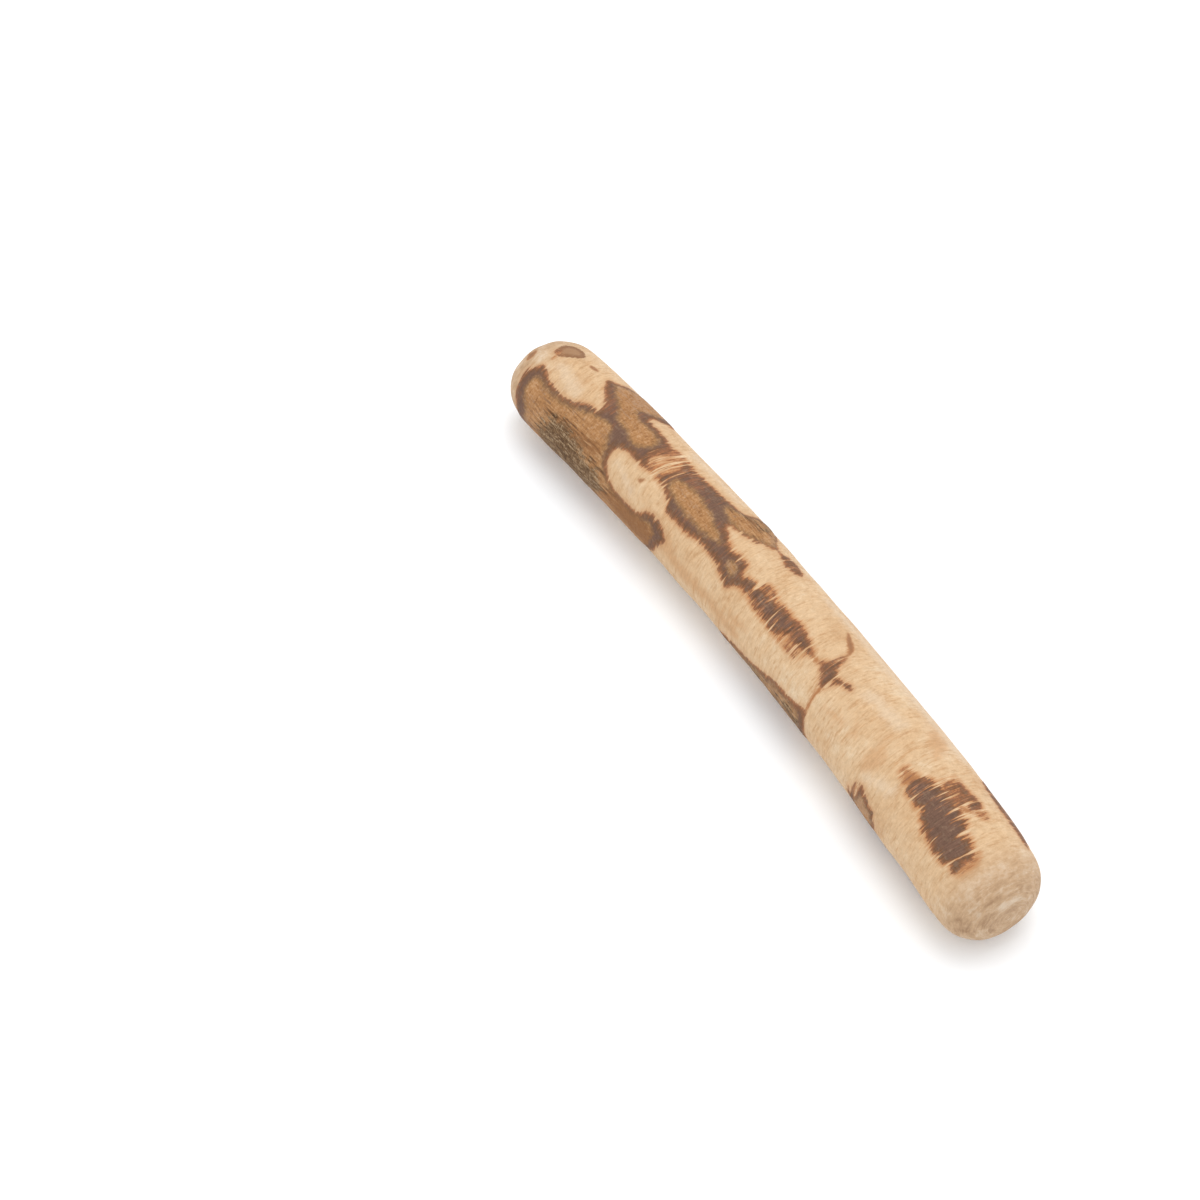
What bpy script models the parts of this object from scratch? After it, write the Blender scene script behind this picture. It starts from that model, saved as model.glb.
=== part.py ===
"""A short wood log: one length of a young stem, peeled, with sawn and rounded ends, lying on its side.

The log is a single piece of wood. +X runs along it towards its butt, which is the thicker end, and +Z is up.
The origin is at the middle of the log's box, on the surface that it lies on. The stem is bent, and it lies as a
bent log settles on a level surface: its bow is level too, and points towards +Y.
"""

import math

import bmesh
import bpy
from mathutils import Matrix, Vector

# The stem, in metres
LENGTH = 0.2245  # straight from the middle of one sawn face to the middle of the other
TOP_RADIUS = 0.0140  # at the thin end, -X
BUTT_RADIUS = 0.0144  # at the butt, +X
BOW = 0.0061  # how far the middle of the stem stands out towards +Y
# Where twigs grew, the stem is a little thicker: place along X, added radius, reach along X
SWELLINGS = (
    (-0.086, 0.00012, 0.012),
    (-0.022, 0.00010, 0.012),
    (0.077, 0.00055, 0.032),
)

# The section across the stem, as shares of its radius
OVAL = 0.014  # wider than it is high by this share, each way
THREE_SIDED = 0.007  # and flattened this much on three sides, one of them the underside

# The ends. Each is rounded over, from the stem's side to a small flat that is left of the saw's cut.
TOP, BUTT = -1, 1  # the side of the origin that each is on
ROUNDING_LENGTH = {TOP: 1.02, BUTT: 0.92}  # along X, as a share of the radius there
ROUNDING_POWER = 2.7  # 2 is a quarter of an ellipse, and more is a squarer end
SAWN_RADIUS = 0.45  # of the flat, as a share of the radius there
# Both cuts are nearly square to X, and so they lean a little against the bent stem: this slope, each
LEAN = {TOP: 0.13, BUTT: 0.07}

# How finely the solid is cut into flat faces
SIDES = 36  # a side, not a corner, is at the bottom
BODY_RINGS = 49
ROUNDING_RINGS = 8
WELD_DISTANCE = 1e-6

WOOD_COLOUR = (0.68, 0.49, 0.31)
WOOD_ROUGHNESS = 0.55
SHARP_ANGLE = math.radians(30)


def clear_scene():
    for obj in list(bpy.context.scene.objects):
        bpy.data.objects.remove(obj, do_unlink=True)


def make_collection(name):
    collection = bpy.data.collections.new(name)
    bpy.context.scene.collection.children.link(collection)
    return collection


def wood_material():
    material = bpy.data.materials.new("peeled_wood")
    material.use_nodes = True
    shader = material.node_tree.nodes["Principled BSDF"]
    shader.inputs["Base Color"].default_value = (*WOOD_COLOUR, 1.0)
    shader.inputs["Roughness"].default_value = WOOD_ROUGHNESS
    shader.inputs["Metallic"].default_value = 0.0
    return material


def stem_radius(x):
    """The stem's radius at x: an even taper from butt to top, plus a low hump at each swelling."""
    share = x / LENGTH + 0.5
    radius = TOP_RADIUS + (BUTT_RADIUS - TOP_RADIUS) * share
    for place, added, reach in SWELLINGS:
        radius += added * math.exp(-(((x - place) / reach) ** 2))
    return radius


def section_share(angle):
    """The section's radius at an angle up from +Y, as a share of the stem's radius."""
    oval = OVAL * math.cos(2 * angle)
    three_sided = THREE_SIDED * math.cos(3 * (angle + math.pi / 2))
    return 1 + oval - three_sided


def underside_drop():
    """How far below the stem's axis its lowest side lies, as a share of the radius."""
    corner = -math.pi / 2 + math.pi / SIDES
    return -section_share(corner) * math.sin(corner)


def axis_y(x):
    """The stem's axis is a parabola, bowed towards +Y."""
    return BOW * (1 - (2 * x / LENGTH) ** 2)


def axis_slope(x):
    """How steeply the axis runs towards +Y at x."""
    return -8 * BOW * x / LENGTH**2


def axis_point(x):
    """A point of the stem's axis, as high as makes the underside level."""
    return Vector((x, axis_y(x), stem_radius(x) * underside_drop()))


def rounding(end):
    """(distance in from the sawn face, radius) pairs of an end's rounding, from that face to the stem's side.

    They follow a quarter of a superellipse, cut off where it reaches the sawn face.
    """
    exponent = 2 / ROUNDING_POWER
    radius = stem_radius(end * LENGTH / 2)
    reach = ROUNDING_LENGTH[end] * radius
    first = math.asin(SAWN_RADIUS ** (1 / exponent))
    face = reach * math.cos(first) ** exponent
    pairs = []
    for index in range(ROUNDING_RINGS + 1):
        angle = first + (math.pi / 2 - first) * index / ROUNDING_RINGS
        distance = face - reach * max(0.0, math.cos(angle)) ** exponent
        pairs.append((distance, radius * math.sin(angle) ** exponent))
    return pairs


def rounding_length(end):
    return rounding(end)[-1][0]


def end_places(end):
    """(point, radius) pairs of an end, from its sawn face inwards, without the ring where the rounding starts."""
    return [(axis_point(end * (LENGTH / 2 - distance)), radius) for distance, radius in rounding(end)[:-1]]


def stem_places():
    """(point, radius) pairs along the whole axis, from the top's sawn face to the butt's."""
    first = -LENGTH / 2 + rounding_length(TOP)
    last = LENGTH / 2 - rounding_length(BUTT)
    body = []
    for index in range(BODY_RINGS):
        x = first + (last - first) * index / (BODY_RINGS - 1)
        body.append((axis_point(x), stem_radius(x)))
    return end_places(TOP) + body + end_places(BUTT)[::-1]


def section_outline(collection):
    """The closed outline of the section at a radius of 1, which the stem's axis carries along it."""
    curve = bpy.data.curves.new("section_outline", "CURVE")
    curve.dimensions = "2D"
    spline = curve.splines.new("POLY")
    spline.points.add(SIDES - 1)
    spline.use_cyclic_u = True
    for index, point in enumerate(spline.points):
        angle = -math.pi / 2 + 2 * math.pi * (index + 0.5) / SIDES
        share = section_share(angle)
        point.co = (share * math.cos(angle), share * math.sin(angle), 0.0, 1.0)
    outline = bpy.data.objects.new("section_outline", curve)
    outline.hide_render = True
    outline.display_type = "WIRE"
    collection.objects.link(outline)
    return outline


def stem_curve(outline, collection):
    """The stem's axis as a curve that carries the section, with a flat cap on each sawn end."""
    places = stem_places()
    curve = bpy.data.curves.new("stem_axis", "CURVE")
    curve.dimensions = "3D"
    curve.twist_mode = "Z_UP"
    curve.bevel_mode = "OBJECT"
    curve.bevel_object = outline
    curve.use_fill_caps = True
    spline = curve.splines.new("POLY")
    spline.points.add(len(places) - 1)
    for point, (place, radius) in zip(spline.points, places, strict=True):
        point.co = (*place, 1.0)
        point.radius = radius
    stem = bpy.data.objects.new("stem_axis", curve)
    collection.objects.link(stem)
    return stem


def weld_caps(mesh):
    bm = bmesh.new()
    bm.from_mesh(mesh)
    bmesh.ops.remove_doubles(bm, verts=bm.verts, dist=WELD_DISTANCE)
    bmesh.ops.recalc_face_normals(bm, faces=bm.faces)
    bm.to_mesh(mesh)
    bm.free()


def lean_end(mesh, end):
    """Leans an end's sawn face so that its -Y side stands further out, and its rounding less, towards the stem."""
    length = rounding_length(end)
    for vertex in mesh.vertices:
        x, y, _ = vertex.co
        across = y - axis_y(x)
        section_x = x + axis_slope(x) * across  # where this point's section meets the axis
        inward = LENGTH / 2 - end * section_x
        share = min(1.0, max(0.0, 1 - inward / length))
        vertex.co.x -= end * LEAN[end] * share * across


def centre_on_origin(mesh):
    """Moves the mesh so that the origin is at the bottom centre of its box."""
    lowest = Vector(min(vertex.co[axis] for vertex in mesh.vertices) for axis in range(3))
    highest = Vector(max(vertex.co[axis] for vertex in mesh.vertices) for axis in range(3))
    middle = (lowest + highest) / 2
    mesh.transform(Matrix.Translation((-middle.x, -middle.y, -lowest.z)))


def make_log(collection):
    outline = section_outline(collection)
    stem = stem_curve(outline, collection)
    graph = bpy.context.evaluated_depsgraph_get()
    mesh = bpy.data.meshes.new_from_object(stem.evaluated_get(graph))
    bpy.data.objects.remove(stem)
    bpy.data.objects.remove(outline)
    weld_caps(mesh)
    lean_end(mesh, TOP)
    lean_end(mesh, BUTT)
    centre_on_origin(mesh)
    mesh.name = "log"
    mesh.shade_smooth()
    mesh.set_sharp_from_angle(angle=SHARP_ANGLE)
    mesh.materials.clear()
    mesh.materials.append(wood_material())
    log = bpy.data.objects.new("log", mesh)
    collection.objects.link(log)
    return log


def main():
    clear_scene()
    make_log(make_collection("wood_log"))


main()
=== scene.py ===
"""The looks of a short wood log: pale, peeled wood with patches of bark left on it, lying on a pale floor.

The log is one surface, worked out on a grid of rings: along it from end to end, and around it. The bark
that is left is a set of outlines drawn on that surface, and how deep inside an outline a point lies says
which layer of the bark shows there, as on a stem that was peeled and rubbed down by hand.

Along is measured in millimetres from the middle of the log, towards the butt. Around is measured in degrees
up from the +Y side, so 90 is the top, 180 the -Y side and 270 the underside.
"""

import math

import bpy
import numpy as np
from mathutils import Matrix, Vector


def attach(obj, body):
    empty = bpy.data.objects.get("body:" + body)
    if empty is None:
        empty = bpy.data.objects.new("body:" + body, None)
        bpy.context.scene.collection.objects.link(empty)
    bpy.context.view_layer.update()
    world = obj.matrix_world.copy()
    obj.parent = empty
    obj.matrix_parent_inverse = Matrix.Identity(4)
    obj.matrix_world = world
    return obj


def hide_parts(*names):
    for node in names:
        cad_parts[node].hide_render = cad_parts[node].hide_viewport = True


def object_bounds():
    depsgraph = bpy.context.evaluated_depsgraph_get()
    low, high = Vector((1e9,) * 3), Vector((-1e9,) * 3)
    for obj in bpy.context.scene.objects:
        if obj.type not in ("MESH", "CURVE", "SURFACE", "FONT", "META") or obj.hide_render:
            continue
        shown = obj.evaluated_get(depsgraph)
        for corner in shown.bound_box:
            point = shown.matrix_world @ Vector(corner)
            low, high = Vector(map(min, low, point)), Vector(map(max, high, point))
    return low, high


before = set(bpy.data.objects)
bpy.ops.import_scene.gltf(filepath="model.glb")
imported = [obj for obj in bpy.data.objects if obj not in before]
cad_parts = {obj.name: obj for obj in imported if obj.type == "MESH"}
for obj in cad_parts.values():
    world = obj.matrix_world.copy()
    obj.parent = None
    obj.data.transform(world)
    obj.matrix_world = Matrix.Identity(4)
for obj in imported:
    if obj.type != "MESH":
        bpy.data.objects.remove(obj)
CAD_LOW, CAD_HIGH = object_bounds()

MM = 0.001

# The stem and its ends, in metres: the same driving dimensions as the solid
LENGTH = 0.2245
TOP_RADIUS, BUTT_RADIUS = 0.0140, 0.0144
BOW = 0.0061
SWELLINGS = ((-0.086, 0.00012, 0.012), (-0.022, 0.00010, 0.012), (0.077, 0.00055, 0.032))
OVAL, THREE_SIDED = 0.014, 0.007
TOP, BUTT = -1, 1
ROUNDING_LENGTH = {TOP: 1.02, BUTT: 0.92}
ROUNDING_POWER = 2.7
SAWN_RADIUS = 0.45
LEAN = {TOP: 0.13, BUTT: 0.07}
SAWN_EDGE_SOFTNESS = 0.00010

# The grid of the surface
RINGS = 512
AROUND = 192
UV_MARGIN = 0.01

# How far the surface stands out or in, in metres
BARK_THICKNESS = 0.00022
BARK_RIDGES = 0.00007
HAND_WORK = 0.00009

# Mean lengths of the waves of the bark's ridges and of the hand's work, in millimetres along and across
RIDGE_WAVES = (9.0, 1.9, 1.9)
HAND_WAVES = (17.0, 9.0, 9.0)

# Distances from the middle, in millimetres, over which the ends' wood and their strokes set in
END_WOOD = (97, 110)
END_STROKES_START = (100, 107)

# The finish
LIGHT_LEVEL = 1.36  # how much lighter than its own colour a surface looks under the studio's light
ROUGHNESS = 0.53
SPECULAR = 0.12
BUMP_STRENGTH = 0.6
BUMP_DISTANCE = 0.00012

# Twig scars, each a shallow dish with a raised rim: along, around, radius in millimetres, height in metres
SCARS = (
    (-52.0, 128.0, 1.1, -0.00016),
    (33.0, 112.0, 3.2, 0.00022),
    (36.0, 290.0, 3.0, 0.00020),
    (-61.0, 330.0, 3.4, 0.00025),
    (-30.0, 238.0, 2.2, 0.00016),
    (84.0, 262.0, 2.6, 0.00018),
)


# -------- the bark that is left

# Outlines are closed, through (along, around) points. Each patch of bark goes with the most depth that
# counts, in millimetres: a patch of little depth shows only the stained edge or the dark inner bark.
ALL_LAYERS = 20.0
BARE = -0.4  # the depth at which the wood is bare
FAR_OUTSIDE = -8.0  # what counts as the depth far from every patch
GAP_EDGE = (-0.35, 0.25)  # the depths in a gap's strokes over which it is cut

TOP_PATCH = (
    (-103.8, 206), (-104, 190), (-104, 175), (-104.8, 160), (-105.2, 149), (-105.5, 140), (-105.1, 131),
    (-104.2, 124), (-103, 118), (-101.9, 113), (-100.6, 114.5), (-98.8, 117.5), (-97, 121.5), (-95, 122.5),
    (-92, 123.5), (-89.5, 124), (-87, 121.5), (-85.2, 119), (-83.8, 113.5), (-81.8, 109.5), (-79.5, 107.5),
    (-78, 105.5), (-78.2, 100.5), (-79.2, 95), (-80.9, 88), (-82.6, 82.5), (-84.3, 76), (-85.6, 70),
    (-85.1, 65.5), (-83.4, 60), (-82.3, 53), (-81.2, 44), (-79, 32), (-76, 22), (-71, 17), (-65.5, 22),
    (-63, 33), (-63.8, 44), (-65.8, 54), (-66.6, 61), (-66, 66.5), (-63, 67.5), (-59.5, 69), (-56, 70),
    (-53.8, 73.5), (-53.4, 80), (-53.8, 87), (-54.9, 94), (-54.9, 101), (-53.8, 107), (-53.2, 113),
    (-54.5, 117), (-57, 117), (-60, 115.8), (-62.4, 117.5), (-64, 122), (-64.8, 128), (-64.8, 135),
    (-64, 143), (-62.6, 150), (-60.4, 156.5), (-57.4, 161), (-53, 161.8), (-49, 161), (-46.6, 158.5),
    (-45.2, 154.5), (-43.6, 148.2), (-41.3, 144.8), (-38.6, 145.8), (-36, 149), (-34, 154.5), (-33.2, 160),
    (-34.4, 166), (-35.6, 175), (-37.5, 189), (-42, 205), (-50, 216), (-58, 213), (-66, 222), (-76, 231),
    (-84, 226), (-92, 233), (-99, 224),
)
CHAIN = (
    (-48.4, 107), (-48.2, 112), (-46, 114), (-43.6, 117), (-41.6, 120.5), (-40.2, 125), (-39.2, 129.5),
    (-36.5, 131.5), (-33, 131.3), (-30, 132), (-27.5, 130), (-24.5, 127), (-20.5, 127), (-17, 128.3),
    (-14.8, 129), (-13.2, 132.5), (-11.4, 136), (-9.2, 138.5), (-7.5, 137.5), (-6.7, 132), (-5.5, 128),
    (-3, 125.5), (-0.8, 126.5), (2, 128.5), (6, 130), (10, 131), (13.2, 131), (14.6, 126.5), (16.5, 121),
    (20, 121), (23.2, 119), (25.4, 115.5), (25.4, 110.5), (23.4, 107), (20, 104.5), (16.5, 102.5),
    (12, 103.2), (8.6, 103.8), (6.8, 106.5), (3, 107.5), (0, 109), (-3.5, 112), (-6, 115), (-7.4, 111),
    (-8.2, 105), (-10.5, 103), (-13, 104), (-15.2, 105.5), (-17, 102.5), (-19.2, 98.2), (-21, 94),
    (-22, 90.5), (-20.4, 88), (-17.6, 85), (-15.2, 81.5), (-13.3, 78.5), (-12.5, 72), (-10.6, 68),
    (-9.4, 64.5), (-9.8, 56), (-11.8, 50), (-14, 40), (-16.5, 30), (-19.5, 20), (-22, 20), (-22.6, 36),
    (-23.2, 50), (-24.1, 60), (-27, 64.5), (-31, 67), (-36, 68.5), (-41, 70.3), (-46, 70.5), (-48.2, 73),
    (-47.4, 80), (-46.4, 88), (-47, 97),
)
STREAKED_BAND = (
    (-53.2, 112), (-50.5, 112), (-48.3, 113), (-46.5, 100), (-45, 86), (-44, 72), (-46.5, 69.5), (-50, 70),
    (-53, 72), (-53.2, 84), (-54.6, 98),
)
CHAIN_TAIL = (
    (-10.6, 62), (-8.4, 61.5), (-6.4, 62), (-5, 65), (-3.6, 67.5), (-1.6, 68), (-0.3, 65.5), (0.8, 62.5),
    (1.8, 58.5), (1, 53.5), (-1, 50), (-3.8, 49.5), (-5.7, 51.5), (-6.6, 56), (-8.4, 57.5), (-10.4, 56),
)
CHAIN_UPPER_EDGE = (
    (14.4, 126), (15.2, 131.5), (18, 131), (21, 132), (23.2, 130), (23.8, 124), (24.2, 118), (19, 119),
    (15.2, 119),
)
CHAIN_LOWER_EDGE = (
    (-0.6, 110), (-0.3, 105), (1.2, 101), (3.4, 100.2), (5.4, 103), (7.2, 105.5), (6.6, 108), (3, 109.5),
)
CROSS_SCAR = (
    (29, 112), (30.4, 115), (31.8, 118.5), (32.8, 123.5), (33.9, 127.5), (35.5, 127), (36.1, 121),
    (37, 114.5), (38.6, 110), (40.4, 107.5), (41.4, 105), (40.2, 102.2), (38.2, 104.5), (36.4, 107),
    (34.6, 104.5), (33.5, 100), (33.1, 93), (32.2, 85.5), (31.2, 87), (31.1, 95), (30.6, 102), (29.4, 108),
)
SIDE_PATCH = (
    (35.3, 159.5), (33.6, 162), (31, 164.7), (27.5, 167), (24, 168.2), (20.6, 170.3), (17.4, 173.8),
    (14.4, 178), (10, 182.5), (5, 186.5), (-2, 193), (-6, 204), (-1, 216), (9, 221), (17, 229), (26, 225),
    (33, 216), (37.5, 203), (37.1, 190), (36.8, 178), (36.4, 167),
)
SIDE_CORNER = (
    (63.4, 159.2), (64.8, 160.8), (66.3, 164.5), (68.6, 168.8), (70.8, 171.5), (71.4, 178), (72.3, 186),
    (72.5, 198), (66.5, 206), (60.5, 200), (58.4, 190), (60.6, 181.5), (62.5, 176), (62.8, 166),
)
SIDE_CORNER_EDGE = ((59, 182), (60.2, 174), (61.2, 165), (63.2, 159.5), (64.6, 166), (63.6, 178), (61, 186))
BUTT_PATCH = (
    (72.8, 111), (73, 117.5), (74, 122), (76, 124), (78.8, 125.3), (80.8, 124.8), (82.6, 127.5),
    (84.8, 130), (86.4, 134.3), (89.4, 135), (91.6, 137.5), (94.4, 138.7), (96.4, 136.2), (97.6, 132),
    (99.2, 132), (100.7, 133), (100.8, 127), (100.3, 120), (100.5, 112), (100.1, 105.5), (98.2, 103),
    (96, 102), (94, 98.5), (92, 94.5), (89.8, 91.5), (86.4, 91), (83, 91), (79.8, 92), (77.4, 95),
    (75.4, 98.5), (74, 103.5),
)
BUTT_ARM = (
    (80, 78.5), (82.5, 80), (85.5, 80), (88.3, 80.5), (89.5, 77.5), (89.2, 72), (88.2, 67.5), (86.6, 66),
    (84, 68.5), (81.4, 70.8), (79.6, 73),
)
BUTT_ARM_STREAKS = (
    (79.6, 92.5), (82.5, 93), (85.6, 92), (86.2, 86), (85.6, 79.5), (82.5, 78), (79.4, 78), (78.9, 85),
)
BUTT_STAINS = (
    ((69.2, 109), (69, 115), (70.2, 119.5), (73.2, 121), (73.8, 112), (74.6, 104), (72, 107)),
    ((78.4, 73), (78.4, 82), (78, 90), (79.6, 94), (80.6, 86), (80.4, 76), (80, 71)),
    ((88.6, 77), (90.4, 76), (91.8, 72), (91, 68.5), (89, 69.5)),
    ((99.8, 101), (101.2, 105), (101.9, 114), (101.8, 124), (101.2, 130), (99.9, 126), (99.6, 112)),
)
LEAF_TOP = ((-103.2, 91), (-103.8, 86), (-102.6, 82.5), (-100.9, 83.5), (-100.3, 88.5), (-101.4, 92.5))
FAR_SIDE_STRIP = (
    (82, 40), (86, 40.5), (91, 42), (96, 41.5), (100.3, 40.5), (101.4, 34), (98.5, 24), (93, 13), (86, 7),
    (80, 12), (77.5, 24), (79.2, 34),
)
# Not seen from the front: the back and the underside
BACK_LONG = (
    (-44, -8), (-36, -1), (-27, -5), (-19, 2), (-10, -2), (0, 4), (9, 0), (16, -7), (21, -17), (17, -26),
    (7, -29), (-2, -37), (-12, -33), (-22, -40), (-33, -35), (-41, -27), (-47, -18),
)
BACK_BUTT = (
    (36, 12), (43, 18), (51, 14), (58, 19), (65, 10), (68, -2), (63, -13), (55, -16), (49, -25), (41, -20),
    (35, -10), (33, 2),
)
BACK_TOP = (
    (-101, -14), (-96, -2), (-88, 3), (-80, -3), (-73, -12), (-66, -14), (-62, -24), (-67, -36), (-76, -41),
    (-84, -52), (-93, -49), (-100, -38), (-103.5, -26),
)
UNDER_TOP = (
    (-90, 262), (-82, 270), (-72, 266), (-63, 272), (-54, 268), (-46, 259), (-50, 249), (-59, 250),
    (-68, 243), (-79, 247), (-88, 252),
)
UNDER_MIDDLE = (
    (-24, 283), (-14, 291), (-3, 287), (8, 293), (19, 288), (27, 279), (24, 268), (14, 264), (4, 269),
    (-7, 262), (-17, 267), (-25, 274),
)
UNDER_BUTT = (
    (54, 244), (62, 252), (70, 250), (79, 257), (88, 252), (94, 241), (89, 230), (80, 232), (71, 225),
    (61, 229), (54, 236),
)
FRONT_WHOLE = (TOP_PATCH, CHAIN, SIDE_PATCH, SIDE_CORNER, BUTT_PATCH)
HIDDEN_WHOLE = (BACK_LONG, BACK_BUTT, BACK_TOP, UNDER_MIDDLE)
BARK = (
    *((ALL_LAYERS, outline) for outline in FRONT_WHOLE + HIDDEN_WHOLE),
    (-0.1, STREAKED_BAND),
    (0.9, CHAIN_TAIL),
    (-0.05, CHAIN_UPPER_EDGE),
    (0.1, CHAIN_LOWER_EDGE),
    (1.6, CROSS_SCAR),
    (0, SIDE_CORNER_EDGE),
    (0.9, BUTT_ARM),
    (0.35, BUTT_ARM_STREAKS),
    *((-0.3, outline) for outline in BUTT_STAINS),
    (0.25, LEAF_TOP),
    (0.9, FAR_SIDE_STRIP),
    (1.6, UNDER_TOP),
    (1.6, UNDER_BUTT),
)

# Where the golden outer bark is left on the dark inner bark
GOLDEN = (
    (
        (-99.5, 206), (-99.8, 188), (-99.6, 172), (-101, 160), (-101.8, 150), (-101.8, 138), (-101, 129),
        (-99, 126.5), (-97, 129), (-94, 130.5), (-91, 130), (-88, 128), (-85.5, 125.5), (-83, 121.5),
        (-80, 116.5), (-77.5, 112.5), (-74.5, 109), (-71.5, 109), (-69.8, 112), (-68.8, 118), (-67.8, 124),
        (-66.8, 130), (-66.6, 137), (-65.6, 145), (-63.8, 152), (-61.2, 159), (-58, 164), (-53.5, 165.2),
        (-49.5, 164.5), (-46.8, 162), (-44.9, 159.5), (-43.2, 157), (-40.8, 156.5), (-38.8, 158.5),
        (-37.6, 163), (-38.2, 170), (-39.5, 186), (-43.5, 202), (-50.5, 211), (-58, 208), (-66, 217),
        (-76, 225), (-84, 221), (-92, 226), (-96, 219),
    ),
    (
        (-82.6, 65), (-81.4, 71.5), (-79.4, 78.5), (-77.2, 83.5), (-75.2, 87.5), (-73.6, 93), (-72.4, 98.5),
        (-69, 101.5), (-66, 102.5), (-63.5, 106.5), (-61, 107.5), (-59.4, 104), (-58, 98.5), (-57.2, 92),
        (-57.3, 85), (-58, 79.5), (-60.5, 76), (-65, 76.5), (-68.6, 75), (-70.3, 70), (-69, 60),
        (-67.4, 48), (-67.2, 34), (-71, 24), (-75.5, 30), (-79, 42), (-81, 55),
    ),
    (
        (-44.6, 103), (-43.8, 108.5), (-42.2, 112.3), (-39.8, 115), (-37, 117.2), (-33.5, 118.8),
        (-29.5, 119.2), (-26, 118.6), (-23.2, 117), (-20.8, 114.3), (-18.8, 110.5), (-20, 106.5),
        (-22.4, 103), (-25, 99.8), (-27.5, 96.3), (-30, 93), (-33, 91.2), (-36.5, 90.2), (-39.5, 90.6),
        (-42, 93), (-44, 97.5),
    ),
    (
        (-28.6, 77), (-27, 81.5), (-24.6, 85), (-21.5, 86), (-18.8, 83.6), (-16.2, 80.3), (-14.2, 77),
        (-13.3, 72), (-11.6, 67.5), (-10.4, 63.5), (-10.8, 56), (-13, 48), (-15.2, 38), (-17, 26),
        (-20.5, 24), (-21.6, 36), (-22.4, 50), (-23.2, 61), (-25.4, 67), (-27.6, 71.5),
    ),
    (
        (-13, 116), (-12.3, 121), (-11, 125), (-9.6, 126.5), (-8.6, 124), (-8.6, 118), (-9.6, 114),
        (-11.5, 112),
    ),
    (
        (33.2, 169.5), (31.6, 169.5), (29, 170.8), (25.5, 171.8), (21.5, 174.5), (17, 179.5), (11, 186),
        (4, 192), (-1.5, 200), (-1, 210), (9, 216), (17, 223), (25, 220), (31, 211), (33.6, 200),
        (34.4, 186), (34.2, 175),
    ),
    ((65, 169.5), (67, 172), (69.6, 175.5), (70.5, 183), (70.8, 195), (66, 201), (62, 196), (62.8, 184)),
)
# On the sides that the front doesn't show, the golden bark starts this many millimetres inside the edge
HIDDEN_GOLDEN = tuple(zip((2.4, 2, 2.6, 2), HIDDEN_WHOLE, strict=True))

# The roughest bark, grey and cracked along the stem
ROUGH = (
    (
        ALL_LAYERS,
        (
            (-92, 212), (-94, 192), (-93.5, 177), (-91.2, 161), (-89.5, 150), (-86, 143), (-81.5, 142),
            (-77.5, 145), (-73, 151), (-69, 155), (-64.5, 158.5), (-61, 166), (-60.5, 178), (-64.5, 196),
            (-72, 212), (-84, 216), (-92, 216),
        ),
    ),
    (
        0.8,
        (
            (-26.5, 66), (-22, 66), (-18, 65.5), (-15.6, 61), (-15.8, 52), (-17, 40), (-19, 26),
            (-21.5, 26), (-22.4, 48),
        ),
    ),
    (
        1.6,
        ((6, 191), (14, 184), (22, 177), (29, 173), (34.5, 173), (35, 190), (31, 209), (18, 218), (4, 205)),
    ),
    (
        ALL_LAYERS,
        ((-38, -12), (-24, -12), (-10, -10), (2, -8), (6, -18), (-8, -26), (-24, -28), (-36, -24)),
    ),
)

# Soft-edged brown leaf-shaped mark near the top
LEAF = (
    (-102.9, 92), (-103.9, 85), (-104.3, 78), (-104, 70), (-102.8, 63.5), (-101.2, 60), (-99.4, 59.5),
    (-97.6, 62.5), (-96.8, 68), (-97.1, 74.5), (-98.3, 80.5), (-99.6, 86.5), (-100.8, 91.5),
)

# Brown marks on the bare wood, as chains of (along, around, half-width in millimetres)
MARKS = (
    ((-107.9, 121, 0.5), (-108.2, 114, 1.15), (-108.1, 107, 0.6)),
    ((-92.5, 71, 0.5), (-91.5, 70.3, 0.75), (-90.2, 69, 0.25)),
    ((-52, 129.5, 0.3), (-51.4, 128.5, 0.5), (-50.6, 124, 0.1)),
    (
        (24.6, 61.5, 0.2), (26.6, 66.5, 0.6), (29, 71.5, 0.8), (30.6, 75.5, 0.5), (31.2, 81, 0.3),
        (31.8, 88, 0.2),
    ),
    ((41, 256, 0.3), (46, 248, 0.5), (52, 243, 0.3)),
    ((-20, 320, 0.3), (-17, 313, 0.6), (-16.5, 304, 0.3)),
    ((100, 318, 0.6), (102.5, 312, 1.2), (103, 306, 0.5)),
)

# Thin gaps that go right through the bark, as chains of the same kind
GAPS = (
    ((8.6, 129, 0.05), (8.9, 120, 0.25), (9.2, 108, 0.10)),
    ((10.8, 125, 0.10), (10.9, 118, 0.20), (11.2, 112, 0.05)),
    ((14.7, 128, 0.10), (15, 117, 0.30), (15.5, 105, 0.15)),
    ((16.4, 123, 0.10), (16.8, 111, 0.20)),
    ((1.1, 128, 0.15), (1.5, 120, 0.10)),
    ((20.6, 121, 0.15), (20.9, 114, 0.10)),
    ((81.6, 129, 0.20), (82, 120, 0.10)),
    ((83, 91, 0.25), (83.3, 81, 0.15)),
    ((84.6, 91, 0.20), (84.8, 81, 0.20)),
    ((97.2, 141, 0.15), (98, 122, 0.25), (98.9, 102, 0.20)),
    ((94.8, 99, 0.20), (94.4, 107, 0.05)),
)

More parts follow.
